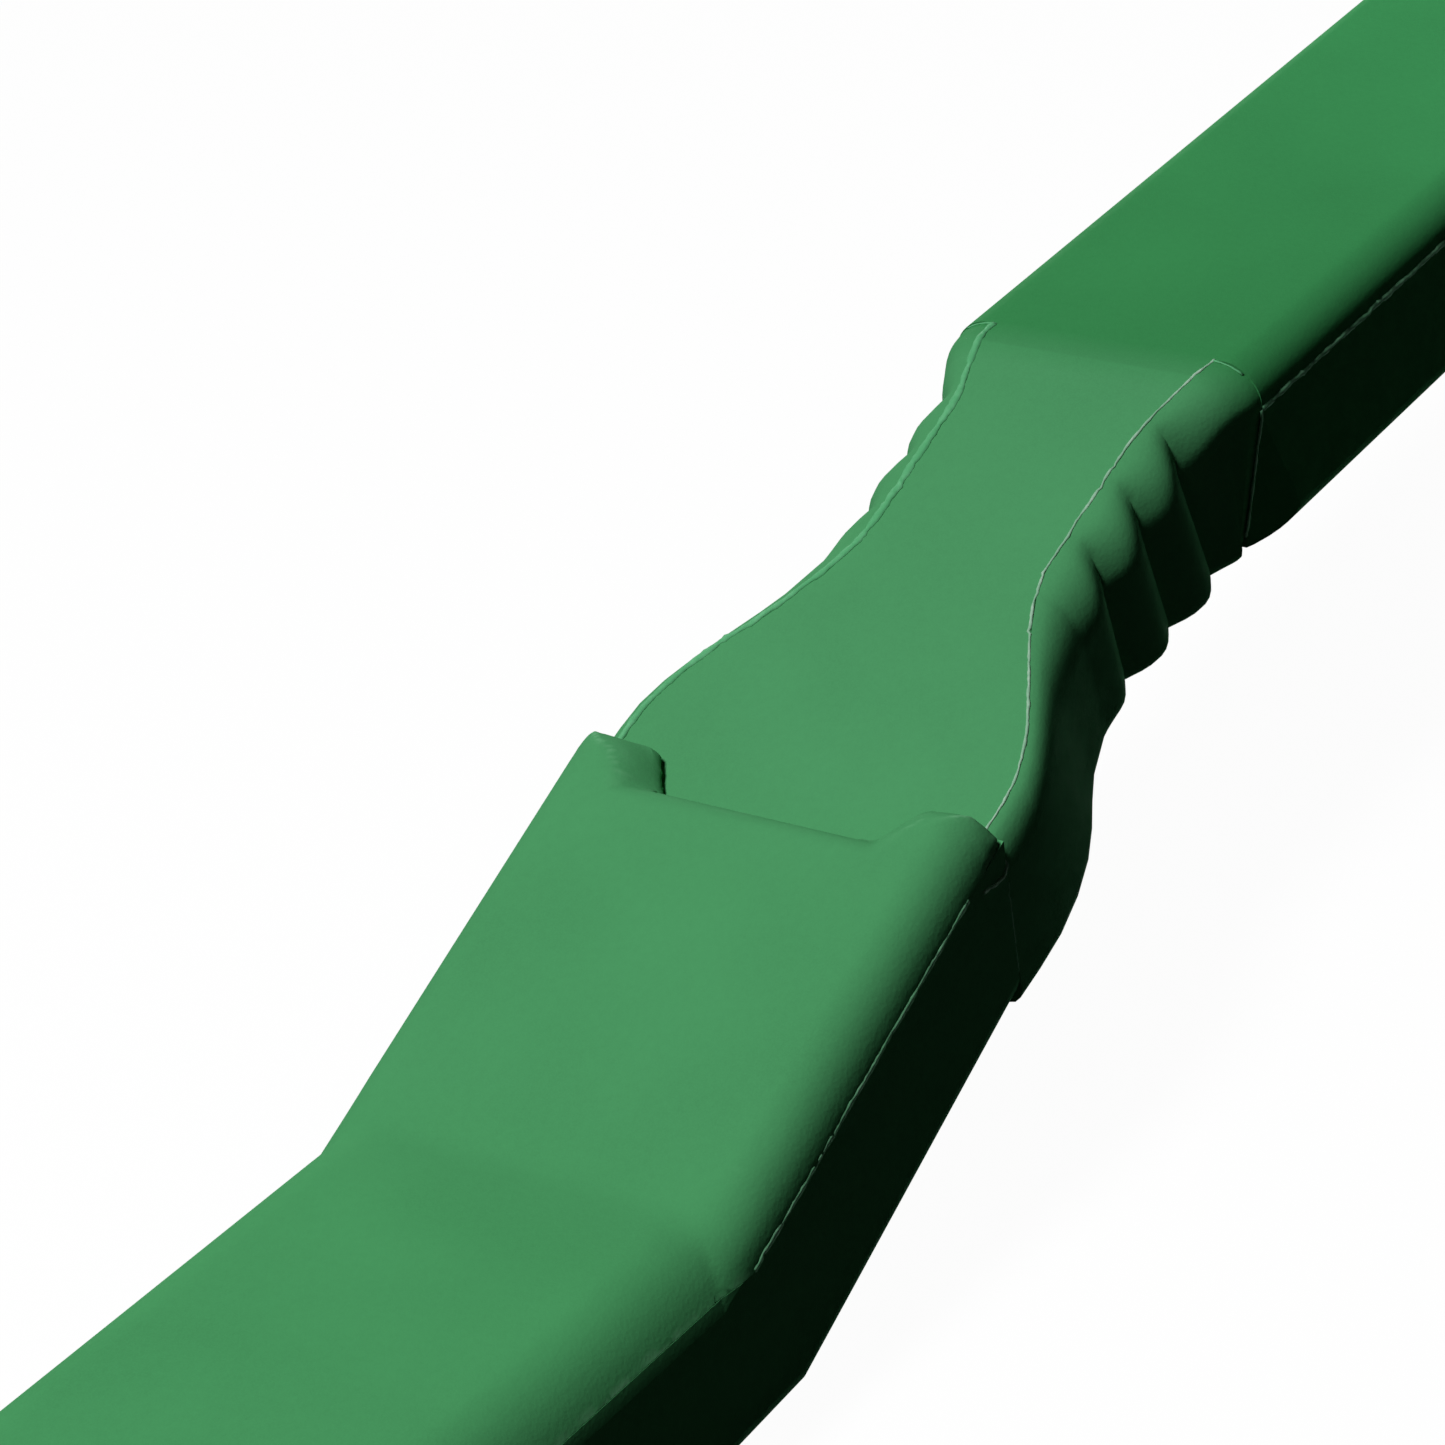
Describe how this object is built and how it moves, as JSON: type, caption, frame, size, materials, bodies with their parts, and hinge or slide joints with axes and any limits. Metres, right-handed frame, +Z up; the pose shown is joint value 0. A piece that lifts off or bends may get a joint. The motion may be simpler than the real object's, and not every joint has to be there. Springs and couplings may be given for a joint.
{
  "type": "laryngoscope",
  "caption": "Laryngoscope with a cranked green moulded handle, hinged cell cover, ribbed waist and a hook-on curved steel blade that folds over the front.",
  "frame": {"origin": "centre of the tail's flat underside, on which the handle lies", "axes": "+Y along the handle from the tail to the blade, +Z up through the handle's front, +X to its right"},
  "size_m": [0.027, 0.2312, 0.1419],
  "materials": {
    "shell_green": "fine spark-eroded grain",
    "heel_green": "fine grain",
    "steel": "brushed",
    "spring_steel": "drawn wire",
    "brass": "rolled sheet",
    "cell_jacket": "satin jacket",
    "lamp_grey": "turned",
    "lens": "polished",
    "light_fibre": "polished rod",
    "board": "solder mask",
    "diode": "moulded resin",
    "seal_rubber": "moulded"
  },
  "bodies": {
    "handle": {"rear_shell": "shell_green", "front_cover": "shell_green", "cover_hinge_pin": "steel", "grip_pad_left": "shell_green", "grip_pad_right": "shell_green", "cell_left": "cell_jacket", "cell_right": "cell_jacket", "contact_springs": "spring_steel", "tail_contact": "brass", "positive_strip": "brass", "negative_strip": "brass", "shell_screws": "steel", "head_block": "shell_green", "hook_pin": "steel", "lamp_spring": "spring_steel", "lamp_socket": "brass"},
    "cover": {"cell_cover": "shell_green"},
    "lamp": {"lamp_barrel": "lamp_grey", "lamp_lens": "lens", "lamp_diode": "diode", "lamp_board": "board", "lamp_seal": "seal_rubber"},
    "blade": {"blade": "steel", "blade_heel": "heel_green", "heel_rivets": "steel", "light_guide": "light_fibre", "guide_clip": "steel", "detent_balls": "steel", "detent_spring": "spring_steel"}
  },
  "joints": [
    {"name": "cover_open", "type": "hinge", "parent": "handle", "child": "cover", "pos_m": [0, -0.03425, 0.01359], "axis": [1, 0, 0], "range_deg": [0, 100]},
    {"name": "blade_fold", "type": "hinge", "parent": "handle", "child": "blade", "pos_m": [0, 0.17268, 0.02528], "axis": [1, 0, 0], "range_deg": [0, 90]},
    {"name": "lamp_plunger", "type": "slide", "parent": "handle", "child": "lamp", "axis": [0, 1, 0], "range_m": [0, 0.0012], "deforming": ["lamp_spring"]}
  ],
  "couplings": [
    {"joint": "lamp_plunger", "follows": "blade_fold", "m_per_rad": 0.00076356}
  ]
}
